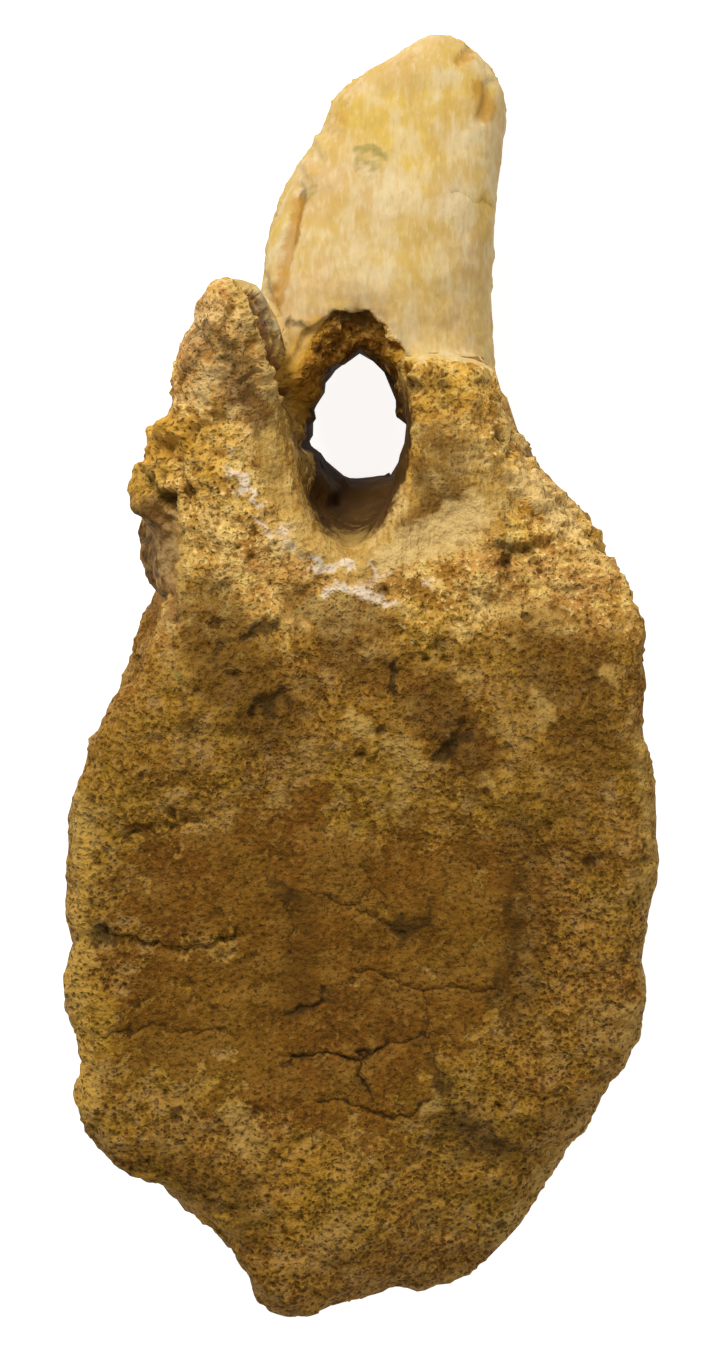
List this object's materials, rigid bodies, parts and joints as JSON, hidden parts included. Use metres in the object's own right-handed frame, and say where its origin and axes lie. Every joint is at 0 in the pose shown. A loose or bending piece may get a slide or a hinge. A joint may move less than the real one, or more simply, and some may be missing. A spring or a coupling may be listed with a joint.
{
  "type": "fossil dinosaur tail vertebra",
  "caption": "Life-size fossil tail vertebra of a large plant-eating dinosaur, lying on the back face of its body, with a spinal canal through it and a broken spine.",
  "frame": {"origin": "middle of the underside of the bone's box, on the surface that it lies on", "axes": "+Z is the bone's front and points up, +Y the way the neural spine points, +X the animal's left side"},
  "size_m": [0.122, 0.2672, 0.0939],
  "materials": {
    "fossil_bone": "dry, matt mineralised bone: open spongy pores, ochre-brown worn faces and pale smooth cortex on the spine"
  },
  "bodies": {
    "root": {"vertebra": "fossil_bone"}
  },
  "joints": []
}
